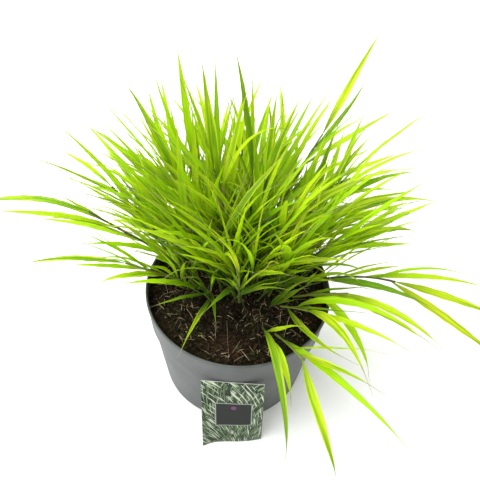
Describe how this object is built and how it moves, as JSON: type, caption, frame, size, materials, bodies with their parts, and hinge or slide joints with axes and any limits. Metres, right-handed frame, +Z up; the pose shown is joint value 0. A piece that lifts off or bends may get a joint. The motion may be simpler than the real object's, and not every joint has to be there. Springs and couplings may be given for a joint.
{
  "type": "potted ornamental grass",
  "caption": "Arching clump of variegated forest grass growing in a round plastic nursery pot, with a plant label leaning on the pot.",
  "frame": {"origin": "middle of the pot's underside, on the surface that it stands on", "axes": "+Z up; -Y towards the viewer of the picture and the label; +X to the viewer's right"},
  "size_m": [0.6584, 0.4505, 0.4258],
  "materials": {
    "pot": "matt mid grey polypropylene",
    "soil": null,
    "grass": null,
    "label": "thin printed plastic card"
  },
  "bodies": {
    "root": {"plant_label": "label", "pot": "pot", "shoot_01": "grass", "shoot_02": "grass", "shoot_03": "grass", "shoot_04": "grass", "shoot_05": "grass", "shoot_06": "grass", "shoot_07": "grass", "shoot_08": "grass", "shoot_10": "grass", "shoot_11": "grass", "shoot_12": "grass", "shoot_13": "grass", "shoot_14": "grass", "shoot_15": "grass", "shoot_16": "grass", "shoot_17": "grass", "shoot_18": "grass", "shoot_19": "grass", "shoot_20": "grass", "shoot_21": "grass", "shoot_22": "grass", "shoot_23": "grass", "shoot_24": "grass", "shoot_25": "grass", "shoot_26": "grass", "shoot_27": "grass", "shoot_28": "grass", "shoot_29": "grass", "shoot_30": "grass", "shoot_31": "grass", "shoot_32": "grass", "shoot_33": "grass", "shoot_34": "grass", "shoot_35": "grass", "shoot_36": "grass", "shoot_37": "grass", "shoot_front_cross": "grass", "shoot_front_left": "grass", "shoot_front_low": "grass", "shoot_front_middle": "grass", "shoot_front_middle_high": "grass", "shoot_front_right": "grass", "shoot_left_high": "grass", "shoot_left_long": "grass", "shoot_left_low": "grass", "shoot_left_top": "grass", "shoot_left_upper": "grass", "shoot_right_front": "grass", "shoot_right_low": "grass", "shoot_right_middle": "grass", "shoot_right_top": "grass", "shoot_right_upper": "grass", "shoot_right_wide": "grass", "shoot_top_left": "grass", "shoot_top_middle": "grass", "shoot_top_right": "grass", "soil": "soil"}
  },
  "joints": []
}
